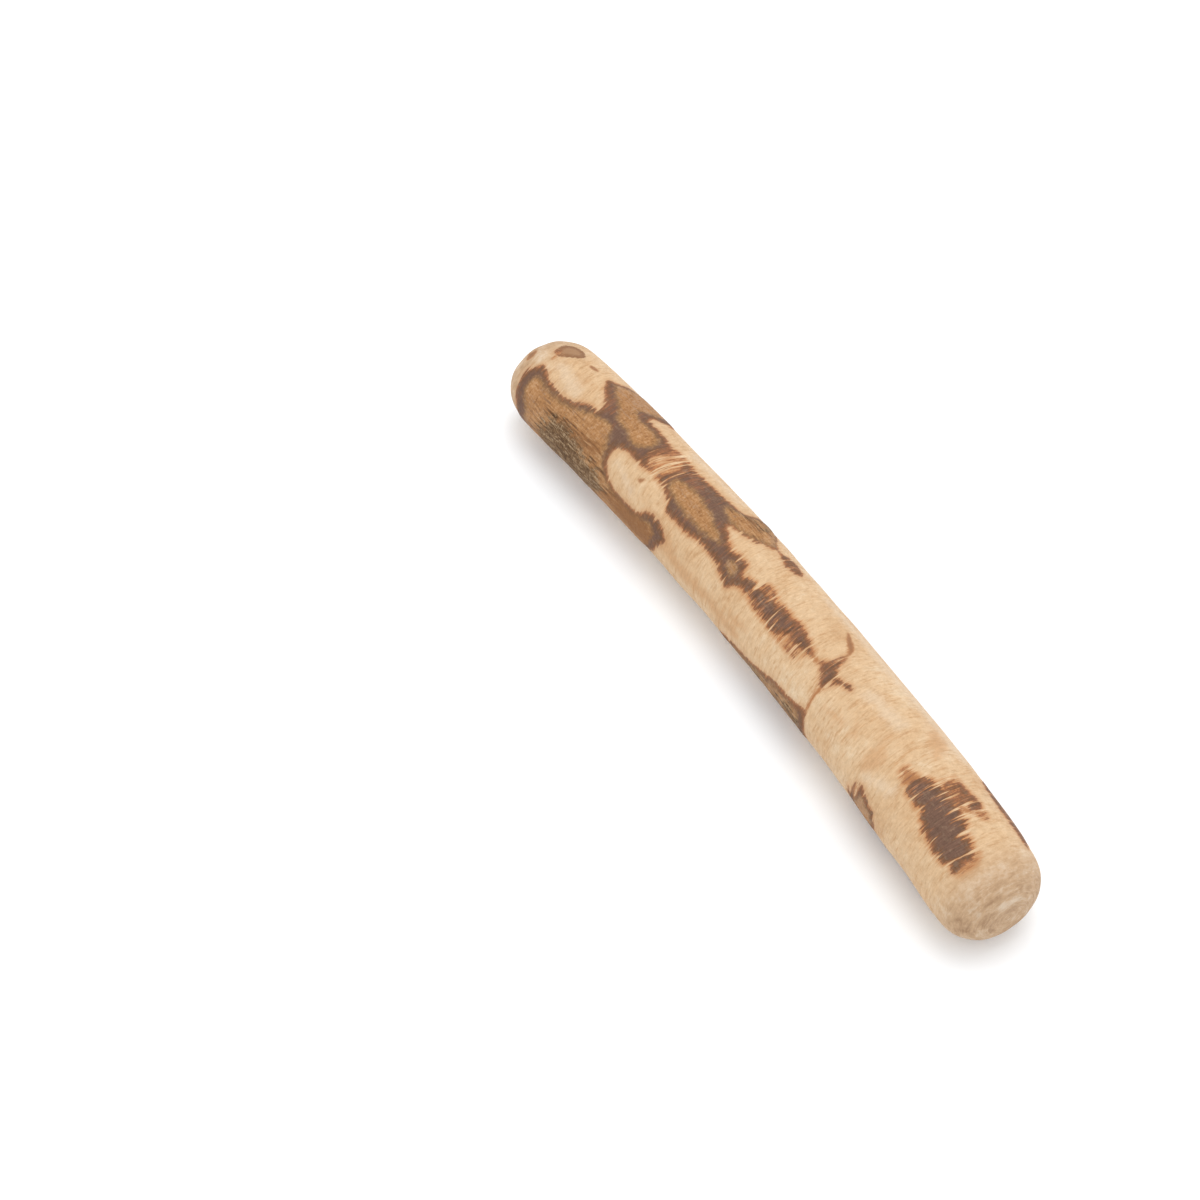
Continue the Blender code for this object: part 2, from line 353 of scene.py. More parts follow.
# Orange stain on the bare wood, as chains of the same kind
STAINS = (
    ((35, 126, 0.8), (34.9, 137, 0.45), (35.3, 148, 0.5), (35.6, 160, 0.8)),
    ((70.2, 113, 0.9), (71.8, 112.5, 1.9), (73.4, 112, 2.1)),
    ((27, 68, 0.4), (29.6, 73, 0.9), (31, 79, 0.7)),
    ((79, 78, 0.9), (78.9, 88, 0.8)),
    ((90.2, 74, 1.1), (91, 71, 0.7)),
    ((101, 106, 0.6), (101.4, 116, 0.9), (101, 128, 0.6)),
    ((25.6, 113.5, 0.5), (29, 113, 0.6)),
    ((86, 89, 0.7), (88, 85, 0.7), (88.8, 81.5, 0.5)),
    ((61.4, 178, 1.1), (62, 168, 0.9)),
    ((-51.8, 92, 0.5), (-50.8, 85, 1), (-49.8, 77, 0.7)),
    ((-66.3, 130, 0.5), (-65.9, 137, 0.5)),
    ((-101.6, 95, 0.7), (-101.2, 100, 0.3)),
)

# Wide, soft tan areas of the bare wood, as chains of the same kind
TAN = (
    ((61.2, 142, 1.8), (61.4, 130, 3.2), (60.6, 120, 1.6)),
    ((59.3, 116, 0.8), (59.3, 100, 0.6)),
    ((51.3, 130, 1.2), (50.6, 124, 1)),
    ((71, 78, 1), (67.5, 66, 3), (64.5, 54, 3.5), (61, 44, 2)),
    ((-36, 166, 1.6), (-24, 170, 2.2), (-12, 168, 1.8), (2, 172, 2)),
    ((-33, 156, 2.2), (-31, 161, 2.4)),
    ((-1.5, 158, 1.6), (5, 156, 1.2)),
    ((40, 139, 0.8), (47, 133, 1.2)),
    ((102.5, 128, 1.4), (103.2, 112, 1)),
    ((20, 240, 3), (38, 250, 4), (50, 262, 3)),
    ((-30, 300, 3), (-50, 310, 4), (-70, 300, 3)),
)

# Paler areas of the bare wood, as chains of the same kind
PALE = (
    ((-97, 100, 1.6), (-88, 109, 2)),
    ((-61, 134, 0.6), (-52, 146, 1)),
    ((45, 92, 1.4), (57, 87, 2)),
    ((63, 150, 0.8), (71, 136, 1.6)),
    ((-50, 50, 1.4), (-30, 49, 1.2)),
    ((12, 48, 1.6), (50, 44, 2), (72, 42, 1.4)),
)

# Paler (above 0) and darker strokes on the rounded ends: end, reach in millimetres, amount, and the stroke's
# points, each in millimetres across and up from the pith. The paler strokes some 7 mm from the butt's pith,
# round the sawn flat's rubbed edge, are partly the worn wood's paleness and partly a painted highlight on
# that edge.
END_STROKES_AND_HIGHLIGHT = (
    (BUTT, 0.7, -0.9, ((0.9, -0.5),)),
    (BUTT, 0.85, -1, ((3.4, 8.6), (1.3, 9), (-0.3, 9), (-2.6, 9.1), (-4.8, 9), (-6.8, 8.1), (-7.8, 7))),
    (BUTT, 2, 1.3, ((0.7, 7), (-0.6, 6.6))),
    (BUTT, 1.4, 0.8, ((-2.2, 6.5),)),
    (BUTT, 1.2, 0.7, ((5, 4.2), (7.7, 3.7), (8.4, 1))),
    (BUTT, 1.2, -0.6, ((6.7, 7.5), (8.6, 5.6))),
    (BUTT, 1.5, -0.6, ((-6.4, 4.6), (-7.1, 2.9), (-7, 0.8))),
    (BUTT, 1.2, 0.5, ((-8.6, 5), (-9.2, 2.6))),
    (BUTT, 1.9, -0.8, ((-10.6, 1.8), (-10.2, -1))),
    (BUTT, 3, -0.6, ((-13, 4.5), (-12.6, 2))),
    (BUTT, 2.4, 0.5, ((-8.5, 11), (0, 12.6))),
    (BUTT, 3, -0.5, ((5.5, -6),)),
    (TOP, 0.8, -1, ((0.4, -0.3),)),
    (TOP, 2.6, 0.7, ((3.5, 4.5),)),
    (TOP, 0.9, -0.9, ((-6.2, 3.4), (-6.8, 0.5), (-5.4, -3.6), (-2.6, -5.8))),
    (TOP, 3.2, -0.5, ((-6, -2),)),
    (TOP, 2.5, -0.6, ((-2, 9.5),)),
)

# The tables below hold bumps on the surface: along, around, reach along in millimetres, spread around in
# degrees, amount

# How far the bark's edges are torn into teeth that run round the log
EVEN_TEAR = 0.34
TEARS = (
    (-50, 92, 5, 34, 0.75),
    (-38, 76, 11, 12, 0.45),
    (-30, 130, 15, 10, 0.30),
    (-14, 103, 7, 9, 0.30),
    (8, 115, 17, 26, 0.80),
    (37, 107, 6, 12, 0.20),
    (86, 106, 19, 42, 0.75),
    (22, 176, 22, 22, -0.24),
    (-52, 160, 9, 9, -0.16),
    (-5, -15, 24, 26, 0.40),
    (72, 240, 22, 22, 0.60),
)
# Where the golden bark is more brown (above 0) or paler and greyer (below 0). The bumps above 0 from 142 to
# 176 degrees around, towards the -Y side, are painted shade, and the paler bump at 57 degrees, near the +Y
# silhouette, is a painted sheen.
GOLDEN_TONE_AND_PAINTED_LIGHT = (
    (-46, 176, 15, 17, 1.5),
    (-72, 142, 6, 9, 1),
    (-84, 148, 8, 7, 0.9),
    (-75, 57, 9, 14, -0.8),
    (-11.5, 58, 4, 12, -1.1),
    (-19, 61, 4.5, 7, 1.3),
    (-10, 118, 4, 10, -0.5),
    (24, 184, 26, 18, -0.9),
    (66, 182, 8, 16, -1.2),
    (-96, 190, 10, 20, -0.5),
)
# Where the dark bark is redder and more streaked (above 0) or plainer (below 0)
REDNESS = (
    (-77, 97, 2.6, 11, 0.8),
    (-42, 83, 6, 7, 1),
    (-40, 160, 9, 16, -0.5),
    (-100, 150, 8, 40, -0.3),
    (4.5, 126, 5, 7, 1),
    (64, 170, 5, 9, 0.7),
    (75, 119, 3.5, 8, 1.2),
    (86, 132, 5, 5, 0.7),
    (89, 114, 9, 17, -0.9),
)
# Where the grain of the surface slants across the rings, the amount being its slope
SLANTS = (
    (-50, 92, 9, 40, 0.40),
    (98, 118, 7, 40, 0.16),
    (-92, 80, 10, 40, -0.12),
    (40, 60, 20, 60, 0.10),
    (10, 260, 40, 60, 0.15),
)


# -------- the log's shape


def stem_radius(x):
    """Radius at x: an even taper, plus a hump of added * exp(-((x - place) / reach)^2) at each swelling."""
    radius = TOP_RADIUS + (BUTT_RADIUS - TOP_RADIUS) * (x / LENGTH + 0.5)
    for place, added, reach in SWELLINGS:
        radius = radius + added * np.exp(-(((x - place) / reach) ** 2))
    return radius


def axis_y(x):
    """The axis is a parabola, bowed towards +Y: BOW * (1 - (2x / LENGTH)^2)."""
    return BOW * (1 - (2 * x / LENGTH) ** 2)


def axis_slope(x):
    """The derivative of axis_y."""
    return -8 * BOW * x / LENGTH**2


def section_share(angle):
    """Radius at an angle as a share of the stem's: 1 + OVAL cos 2a - THREE_SIDED cos 3(a + 90 degrees)."""
    return 1 + OVAL * np.cos(2 * angle) - THREE_SIDED * np.cos(3 * (angle + np.pi / 2))


def end_profile(end, count=2000):
    """(distance in from the sawn face, radius) from an end's middle to its side.

    A quarter superellipse, radius R sin(a)^(2/p) at a distance of face - reach cos(a)^(2/p), where the
    distance is held above 0 by the soft maximum s ln(1 + exp(d / s)), which leaves the sawn flat with a
    rubbed edge.
    """
    exponent = 2 / ROUNDING_POWER
    radius = stem_radius(end * LENGTH / 2)
    reach = ROUNDING_LENGTH[end] * radius
    sawn = math.asin(SAWN_RADIUS ** (1 / exponent))
    face = reach * math.cos(sawn) ** exponent
    angle = np.linspace(0, np.pi / 2, count)
    distance = face - reach * np.maximum(0, np.cos(angle)) ** exponent
    soft = SAWN_EDGE_SOFTNESS * np.logaddexp(0, distance / SAWN_EDGE_SOFTNESS)
    return soft, radius * np.sin(angle) ** exponent


def log_profile(count=4000):
    """(x of the axis, radius, distance from the middle) of RINGS + 1 rings, evenly spaced over the surface.

    The length of the profile is summed over straight pieces, count of them on the stem's side.
    """
    top_in, top_radius = end_profile(TOP)
    butt_in, butt_radius = end_profile(BUTT)
    start = -LENGTH / 2 + top_in[-1]
    stop = LENGTH / 2 - butt_in[-1]
    side = np.linspace(start, stop, count)[1:-1]
    x = np.concatenate([-LENGTH / 2 + top_in, side, (LENGTH / 2 - butt_in)[::-1]])
    radius = np.concatenate([top_radius, stem_radius(side), butt_radius[::-1]])
    travelled = np.concatenate([[0], np.cumsum(np.hypot(np.diff(x), np.diff(radius)))])
    even = np.linspace(0, travelled[-1], RINGS + 1)
    return np.interp(even, travelled, x), np.interp(even, travelled, radius), even - even[-1] / 2


def smooth_step(value, low, high):
    """0 below low, 1 above high, and t^2 (3 - 2t) between."""
    t = np.clip((value - low) / (high - low), 0, 1)
    return t * t * (3 - 2 * t)


def plain_surface(x, radius, angle):
    """Points of the smooth log: rings square to the axis, at radius * section_share, the ends leaned.

    An end leans by LEAN * share * the distance across, where share goes evenly to 1 over its rounding.
    """
    slope = axis_slope(x)
    stretch = np.hypot(1, slope)
    across = np.cos(angle) * section_share(angle) * radius
    up = np.sin(angle) * section_share(angle) * radius
    px = x - slope / stretch * across
    py = axis_y(x) + across / stretch
    pz = stem_radius(x) * section_share(-np.pi / 2) + up
    for end in (TOP, BUTT):
        length = end_profile(end)[0][-1]
        share = np.clip(1 - (LENGTH / 2 - end * x) / length, 0, 1)
        px = px - end * LEAN[end] * share * (py - axis_y(x))
    return np.stack([px, py, pz], axis=-1)


def grid_normals(points):
    """Unit normals: the cross product of the differences around and along the grid, the poles' along X."""
    along = np.gradient(points, axis=0)
    around = np.roll(points, -1, axis=1) - np.roll(points, 1, axis=1)
    normals = np.cross(around, along)
    normals[0] = (-1, 0, 0)
    normals[-1] = (1, 0, 0)
    return normals / np.maximum(np.linalg.norm(normals, axis=-1, keepdims=True), 1e-12)


def waves(points, wavelength, seed, count=24):
    """A smooth uneven field, about -1 to 1: the sum of count cosines with seeded directions and phases.

    wavelength is about the length of a wave, one number for each of X, Y and Z.
    """
    random = np.random.default_rng(seed)
    directions = random.normal(size=(count, 3))
    directions /= np.linalg.norm(directions, axis=1, keepdims=True)
    directions *= random.uniform(0.6, 1.6, size=(count, 1)) * 2 * np.pi / np.broadcast_to(wavelength, 3)
    phases = random.uniform(0, 2 * np.pi, size=count)
    total = np.zeros(points.shape[:-1])
    for direction, phase in zip(directions, phases, strict=True):
        total += np.cos(points @ direction + phase)
    return total * math.sqrt(2 / count) / 1.6


# -------- what is drawn on the surface


def around_mm(degrees):
    """Degrees around the log as millimetres over its surface."""
    return np.radians(degrees) * (TOP_RADIUS + BUTT_RADIUS) / 2 / MM


def turned_from(middle, around):
    """Degrees from a middle to an angle around the log, the shorter way round, from -180 to 180."""
    return (around - middle + 180) % 360 - 180


def unrolled(along, around, middle):
    """Flat coordinates in millimetres, with the around direction counted from a middle."""
    return along, around_mm(turned_from(middle, around))


def to_piece(px, py, start, stop):
    """(share, distance) of a straight piece's nearest point: its place from start to stop, and how far."""
    (ax, ay), (bx, by) = start, stop
    dx, dy = bx - ax, by - ay
    share = np.clip(((px - ax) * dx + (py - ay) * dy) / max(dx * dx + dy * dy, 1e-9), 0, 1)
    return share, np.hypot(px - ax - share * dx, py - ay - share * dy)


def rounded_outline(points, steps=5):
    """A closed Catmull-Rom curve through the points, steps to each stretch."""
    p = np.asarray(points, float)
    before, here, after, later = np.roll(p, 1, 0), p, np.roll(p, -1, 0), np.roll(p, -2, 0)
    t = np.arange(steps)[:, None, None] / steps
    curve = (
        2 * here
        + (after - before) * t
        + (2 * before - 5 * here + 4 * after - later) * t**2
        + (3 * here - before - 3 * after + later) * t**3
    ) / 2
    return curve.transpose(1, 0, 2).reshape(-1, 2)


def depth_inside(along, around, outline):
    """Distance in millimetres to an outline, positive inside it, by the nearest of its straight pieces."""
    outline = np.asarray(outline, float)
    middle = outline[:, 1].mean()
    px, py = unrolled(along, around, middle)
    corners = rounded_outline(np.stack(unrolled(outline[:, 0], outline[:, 1], middle), axis=1))
    nearest = np.full(px.shape, np.inf)
    inside = np.zeros(px.shape, bool)
    for (ax, ay), (bx, by) in zip(corners, np.roll(corners, -1, axis=0), strict=True):
        nearest = np.minimum(nearest, to_piece(px, py, (ax, ay), (bx, by))[1])
        if ay != by:
            inside ^= ((ay > py) != (by > py)) & (px < ax + (py - ay) * (bx - ax) / (by - ay))
    return np.where(inside, nearest, -nearest)


def depth_in_chain(along, around, chain):
    """Distance in millimetres to the edge of a chain of tapering strokes, positive inside."""
    chain = np.asarray(chain, float)
    middle = chain[:, 1].mean()
    px, py = unrolled(along, around, middle)
    joints = np.stack([*unrolled(chain[:, 0], chain[:, 1], middle), chain[:, 2]], axis=1)
    deepest = np.full(px.shape, -np.inf)
    for (ax, ay, width), (bx, by, next_width) in zip(joints[:-1], joints[1:], strict=True):
        share, distance = to_piece(px, py, (ax, ay), (bx, by))
        deepest = np.maximum(deepest, width + share * (next_width - width) - distance)
    return deepest


def layered_depth(along, around, patches):
    """How deep inside any of the patches each point lies: the largest of min(most, depth inside)."""
    deepest = np.full(along.shape, FAR_OUTSIDE)
    for most, outline in patches:
        deepest = np.maximum(deepest, np.minimum(most, depth_inside(along, around, outline)))
    return deepest


def golden_depth(along, around):
    """Depth inside the golden outer bark: its outlines, and the hidden sides' patches less their rims."""
    deepest = layered_depth(along, around, [(ALL_LAYERS, outline) for outline in GOLDEN])
    for rim, outline in HIDDEN_GOLDEN:
        deepest = np.maximum(deepest, depth_inside(along, around, outline) - rim)
    return deepest


def chain_depth(along, around, chains):
    """How deep inside any of the chains of strokes each point lies."""
    deepest = np.full(along.shape, FAR_OUTSIDE)
    for chain in chains:
        deepest = np.maximum(deepest, depth_in_chain(along, around, chain))
    return deepest


def with_gaps(bark, along, around):
    """The bark's depth d with gaps cut through it: d - (d - BARE) * step, where step is 1 in a gap."""
    cut = smooth_step(chain_depth(along, around, GAPS), *GAP_EDGE)
    return bark - (bark - BARE) * cut * (bark > BARE)


def bump(along, around, place, angle, reach, spread):
    """exp(-(distance along / reach)^2 - (degrees around / spread)^2)"""
    turned = turned_from(angle, around)
    return np.exp(-(((along - place) / reach) ** 2) - (turned / spread) ** 2)


def bumps(along, around, places, even=0.0):
    """An even amount plus a bump at each of the places."""
    amount = np.full(along.shape, even)
    for place, angle, reach, spread, added in places:
        amount += added * bump(along, around, place, angle, reach, spread)
    return amount


def grain_space(travelled, along, around, radius):
    """The log unbent into a straight stem, in millimetres, for textures that run round it.

    X is the distance travelled over the surface from the middle, plus slope * distance round the log where
    the grain slants; Y and Z are the radius times the cosine and sine of the angle.
    """
    x = travelled / MM
    for place, angle, reach, spread, slope in SLANTS:
        round_log = around_mm(turned_from(angle, around))
        x = x + slope * round_log * bump(along, around, place, angle, reach, spread)
    turn = np.radians(around)
    return np.stack([x, np.cos(turn) * radius / MM, np.sin(turn) * radius / MM], axis=-1)


def end_tint_and_highlight(along, grain):
    """Paler (above 0) and darker strokes on the ends: amount * exp(-(distance from stroke / reach)^2)."""
    tint_and_highlight = np.zeros(along.shape)
    # Among the paler strokes, those round the butt's sawn flat are partly a painted highlight on its edge
    for end, reach, amount, stroke in END_STROKES_AND_HIGHLIGHT:
        nearest = np.full(along.shape, np.inf)
        for start, stop in zip(stroke, (*stroke[1:], stroke[-1]), strict=True):
            nearest = np.minimum(nearest, to_piece(grain[..., 1], grain[..., 2], start, stop)[1])
        on_end = smooth_step(end * along, *END_STROKES_START)
        tint_and_highlight += amount * on_end * np.exp(-((nearest / reach) ** 2))
    return tint_and_highlight


def scar_height(along, around):
    """Each twig scar is (1 - 2 q^2) exp(-q^2) times its height, where q is the distance over its radius."""
    height = np.zeros(along.shape)
    for place, angle, radius, amount in SCARS:
        px, py = unrolled(along, around, angle)
        q2 = ((px - place) ** 2 + py**2) / radius**2
        height += amount * (1 - 2 * q2) * np.exp(-q2)
    return height


# -------- the mesh


def placed_on_frame(points):
    """Moves the surface so that its box has the solid's middle, and lies as low as the solid."""
    low, high = points.min(axis=(0, 1)), points.max(axis=(0, 1))
    middle = (np.array(CAD_LOW) + np.array(CAD_HIGH)) / 2
    shift = middle - (low + high) / 2
    shift[2] = CAD_LOW[2] - low[2]
    return points + shift


def grid_faces():
    """Quads between the rings, and a fan of triangles at each pole, the first and the last point."""
    ring = np.arange(RINGS - 2)[:, None] * AROUND + 1
    here = np.arange(AROUND)
    after = (here + 1) % AROUND
    quads = np.stack([ring + here, ring + AROUND + here, ring + AROUND + after, ring + after], axis=-1)
    last_ring = (RINGS - 2) * AROUND + 1
    last = last_ring + AROUND
    first_fan = np.stack([np.zeros(AROUND, int), 1 + here, 1 + after], axis=-1)
    last_fan = np.stack([last_ring + here, np.full(AROUND, last), last_ring + after], axis=-1)
    return [*first_fan.tolist(), *quads.reshape(-1, 4).tolist(), *last_fan.tolist()]


def unwrap(mesh):
    """The log's own map, for its baked finish: each half, from pole to middle, is a strip across the square.

    u = the ring's number, as a share of the half; v = the angle, as a share of the strip.
    """
    half = RINGS // 2

    def corners(second, *places):
        """The map's points for faces with corners at (ring, column) places, on the first or second strip."""
        points = []
        for ring, column in places:
            share = np.where(second, ring - half, ring) / half
            u = UV_MARGIN + (1 - 2 * UV_MARGIN) * share
            v = UV_MARGIN + (0.5 - 2 * UV_MARGIN) * column / AROUND + np.where(second, 0.5, 0.0)
            points.append(np.stack(np.broadcast_arrays(u, v), axis=-1))
        return np.stack(points, axis=1).reshape(-1, 2)

    here = np.arange(AROUND)
    ring = np.repeat(np.arange(1, RINGS - 1), AROUND)
    column = np.tile(here, RINGS - 2)
    end = RINGS - 1
    first = corners(False, (0, here + 0.5), (1, here), (1, here + 1))
    quad = (ring, column), (ring + 1, column), (ring + 1, column + 1), (ring, column + 1)
    body = corners(ring >= half, *quad)
    last = corners(True, (end, here), (end + 1, here + 0.5), (end, here + 1))
    layer = mesh.uv_layers.new(name="OFBake")
    layer.uv.foreach_set("vector", np.concatenate([first, body, last]).astype(np.float32).ravel())


def without_pole_copies(values):
    """Values on the rings, with each pole's ring taken as the one point that it is."""
    return np.concatenate([values[:1, 0], values[1:-1].reshape(-1, *values.shape[2:]), values[-1:, 0]])


def store(mesh, name, values):
    """Puts one number, or one vector, on each of the mesh's points."""
    vector = values.ndim == 3
    layer = mesh.attributes.new(name, "FLOAT_VECTOR" if vector else "FLOAT", "POINT")
    flat = without_pole_copies(values).astype(np.float32).ravel()
    layer.data.foreach_set("vector" if vector else "value", flat)


def make_log():
    """The whole log as one closed mesh, with what is drawn on it as attributes.

    The plain surface is moved along its normals by the bark's thickness and ridges, the twig scars, and slow
    waves that stand for the uneven work of the hand.
    """
    x, radius, travelled = log_profile()
    angle = -np.pi / 2 + 2 * np.pi * np.arange(AROUND) / AROUND
    x, angle = np.meshgrid(x, angle, indexing="ij")
    radius = np.broadcast_to(radius[:, None], x.shape)
    travelled = np.broadcast_to(travelled[:, None], x.shape)
    points = plain_surface(x, radius, angle)
    along, around = x / MM, np.degrees(angle)
    grain = grain_space(travelled, along, around, radius)
    bark = with_gaps(layered_depth(along, around, BARK), along, around)
    rough = layered_depth(along, around, ROUGH)

    ridges = waves(grain, RIDGE_WAVES, seed=3) * smooth_step(rough, -1.0, 2.0)
    hand = waves(grain, HAND_WAVES, seed=5)
    height = BARK_THICKNESS * smooth_step(bark, -0.3, 1.8) + BARK_RIDGES * ridges + HAND_WORK * hand
    height = height + scar_height(along, around)
    points = points + grid_normals(points) * height[..., None]
    points = placed_on_frame(points)
    points[..., 2] = np.maximum(points[..., 2], CAD_LOW[2])

    mesh = bpy.data.meshes.new("log_surface")
    mesh.from_pydata(without_pole_copies(points), [], grid_faces())
    unwrap(mesh)
    store(mesh, "grain", grain)
    store(mesh, "bark", bark)
    store(mesh, "golden", golden_depth(along, around))
    store(mesh, "rough", rough)
    store(mesh, "tear", bumps(along, around, TEARS, EVEN_TEAR))
    # More brown and paler golden bark, with painted shade and a painted sheen among its bumps
    store(mesh, "golden_tone_and_painted_light", bumps(along, around, GOLDEN_TONE_AND_PAINTED_LIGHT))
    store(mesh, "redness", bumps(along, around, REDNESS))
    store(mesh, "leaf", depth_inside(along, around, LEAF))
    for name, chains in (("mark", MARKS), ("stain", STAINS), ("tan", TAN), ("pale", PALE)):
        store(mesh, name, chain_depth(along, around, chains))
    store(mesh, "end", smooth_step(np.abs(along), *END_WOOD))
    # The ends' strokes, with a painted highlight among them round the butt's sawn flat
    store(mesh, "end_tint_and_highlight", end_tint_and_highlight(along, grain))
    mesh.shade_smooth()
    mesh.update()
    piece = bpy.data.objects.new("log_surface", mesh)
    bpy.context.scene.collection.objects.link(piece)
    return piece


# -------- the wood


def tone(red, green, blue):
    """A colour as it looks under the studio's light, 0 to 255 by the sRGB curve, in linear values."""
    value = np.array([red, green, blue]) / 255
    linear = np.where(value <= 0.04045, value / 12.92, ((value + 0.055) / 1.055) ** 2.4)
    return (*(linear / LIGHT_LEVEL).tolist(), 1.0)


class Nodes:
    """Short names for the finish's nodes. Each returns the socket that the next one takes.

    A value is a number, a socket or the name of an attribute. A colour is a socket or (red, green, blue).
    """

    def __init__(self, material):
        material.use_nodes = True
        self.tree = material.node_tree
        self.shader = self.tree.nodes["Principled BSDF"]
        self.grain = self.attribute("grain", "Vector")

    def put(self, socket, value):
        if isinstance(value, str):
            value = self.attribute(value)
        if isinstance(value, bpy.types.NodeSocket):
            self.tree.links.new(value, socket)
        else:
            socket.default_value = value

    def node(self, kind, inputs, **settings):
        """A new node with its settings, and with its inputs put in by name or number."""
        node = self.tree.nodes.new("ShaderNode" + kind)
        for name, value in settings.items():
            setattr(node, name, value)
        for name, value in inputs.items():
            self.put(node.inputs[name], value)
        return node

    def attribute(self, name, output="Fac"):
        return self.node("Attribute", {}, attribute_name=name).outputs[output]

    def math(self, operation, first, second=0.0, third=0.0):
        return self.node("Math", {0: first, 1: second, 2: third}, operation=operation).outputs[0]

    def total(self, *terms):
        """The sum of amount * value over (value, amount) terms."""
        result = 0.0
        for value, amount in terms:
            result = self.math("MULTIPLY_ADD", value, amount, result)
        return result

    def times(self, first, second):
        return self.math("MULTIPLY", first, second)

    def noise(self, per_mm, detail=2.0, roughness=0.5, turn=(0, 0, 0), distortion=0.0, offset=0.0):
        """Noise from about -1 to 1. per_mm is how often it changes in a millimetre along and across."""
        place = {
            "Vector": self.grain,
            "Scale": (per_mm[0], per_mm[1], per_mm[1]),
            "Rotation": tuple(math.radians(value) for value in turn),
            "Location": (offset, offset, offset),
        }
        vector = self.node("Mapping", place).outputs[0]
        inputs = {"Vector": vector, "Scale": 1.0, "Detail": detail, "Roughness": roughness}
        node = self.node("TexNoise", {**inputs, "Distortion": distortion})
        return self.math("MULTIPLY_ADD", node.outputs[0], 4.0, -2.0)

    def step(self, value, low, high, to_low=0.0, to_high=1.0):
        """Goes smoothly from to_low to to_high as the value goes from low to high."""
        limits = {"From Min": low, "From Max": high, "To Min": to_low, "To Max": to_high}
        node = self.node("MapRange", {"Value": value, **limits}, interpolation_type="SMOOTHSTEP")
        return node.outputs["Result"]

    def ramp(self, value, *stops):
        """A colour for each value, from (value, red, green, blue) stops in rising order."""
        low, high = stops[0][0], stops[-1][0]
        share = self.math("DIVIDE", self.math("SUBTRACT", value, low), high - low)
        node = self.node("ValToRGB", {0: share})
        bar = node.color_ramp
        while len(bar.elements) < len(stops):
            bar.elements.new(0.5)
        for element, (place, *colour) in zip(bar.elements, stops, strict=True):
            element.position = (place - low) / (high - low)
            element.color = tone(*colour)
        return node.outputs["Color"]

    def mix(self, share, first, second):
        """The first colour where the share is 0, and the second where it is 1."""
        if isinstance(second, tuple):
            second = tone(*second)
        node = self.node("Mix", {"Factor": share, "A": first, "B": second}, data_type="RGBA")
        return node.outputs["Result"]

    def shade(self, colour, amount):
        """The colour times (1 + amount)."""
        scale = self.math("ADD", amount, 1.0)
        return self.node("VectorMath", {0: colour, "Scale": scale}, operation="SCALE").outputs[0]


class Textures:
    """The noises that more than one layer of the wood shares."""

    def __init__(self, n):
        self.slow = n.noise((0.05, 0.07), detail=2)
        self.blotch = n.noise((0.28, 0.16), detail=3, roughness=0.6, offset=7)
        self.mottle = n.noise((0.75, 0.65), detail=3, roughness=0.65, distortion=0.4, offset=17)
        bent = {"detail": 3, "roughness": 0.7, "distortion": 0.25}
        self.marks = n.noise((1.15, 0.16), turn=(0, 3, 4), offset=3, **bent)
        self.hairs = n.noise((2.2, 0.42), turn=(0, -4, -7), offset=11, **bent)
        self.crumbs = n.noise((1.9, 1.9), detail=2, roughness=0.6, offset=81)
        self.fibres = n.noise((0.18, 1.25), turn=(0, 0, 3), offset=41, **{**bent, "distortion": 0.35})
        self.fine = n.noise((1.1, 1.7), detail=3, roughness=0.65, offset=51)


def bare_wood(n, t):
    """Pale peeled wood: slow changes of tint, and fine marks of the tool that run round the log."""
    colour = n.ramp(
        n.total((t.slow, 0.8), (t.blotch, 0.6), (t.mottle, 0.4)),
        (-1.2, 212, 170, 126),
        (-0.3, 225, 188, 146),
        (0.4, 230, 196, 156),
        (1.2, 238, 212, 178),
    )
    warm = n.step(n.total((t.marks, 1.1), (t.hairs, 0.7), (t.blotch, -0.4)), 0.0, 1.2, 0.0, 0.7)
    colour = n.mix(warm, colour, (212, 163, 115))
    tan = n.total(("tan", 1.0), (t.marks, 1.1), (t.mottle, 1.1))
    colour = n.mix(n.step(tan, -1.2, 1.8, 0.0, 0.75), colour, (213, 166, 120))
    pale = n.total(("pale", 1.0), (t.marks, 0.9), (t.mottle, 0.9))
    colour = n.mix(n.step(pale, -2.0, 2.0, 0.0, 0.75), colour, (233, 206, 174))
    lines = n.total((t.marks, -0.05), (t.hairs, -0.11), (t.mottle, 0.05), (t.crumbs, 0.05))
    return n.shade(colour, lines)


def end_wood(n, t):
    """The greyer rounded ends: fibres that run in bows round the pith."""
    bows = n.noise((1.15, 0.20), detail=4, roughness=0.7, distortion=1.3, offset=5)
    # The end strokes carry a painted highlight round the butt's sawn flat, as well as the wood's own tint
    tint_and_highlight = n.total(("end_tint_and_highlight", 0.7), (t.blotch, 1.0), (bows, 0.7), (t.mottle, 0.6))
    colour = n.ramp(tint_and_highlight, (-1.4, 174, 138, 105), (0.0, 210, 175, 139), (1.4, 232, 208, 181))
    return n.shade(colour, n.total((bows, 0.03), (t.hairs, 0.07), (t.crumbs, 0.06))), bows


def torn_depth(n, t):
    """Depth in the bark, its edges torn: bark + tear * (small teeth, long gaps and spikes), and crumbs."""
    teeth = n.noise((1.25, 0.10), detail=3, roughness=0.7, turn=(0, 2, 2), offset=61)
    long_teeth = n.noise((0.85, 0.05), detail=2, roughness=0.6, turn=(0, 2, 2), offset=65)
    gaps = n.step(long_teeth, 0.20, 0.75)
    spikes = n.step(long_teeth, -0.40, -1.1)
    torn = n.total((teeth, 1.2), (gaps, -2.9), (spikes, 0.9))
    depth = n.math("MULTIPLY_ADD", torn, "tear", "bark")
    return n.total((t.crumbs, 0.12), (t.slow, 0.10), (depth, 1.0))


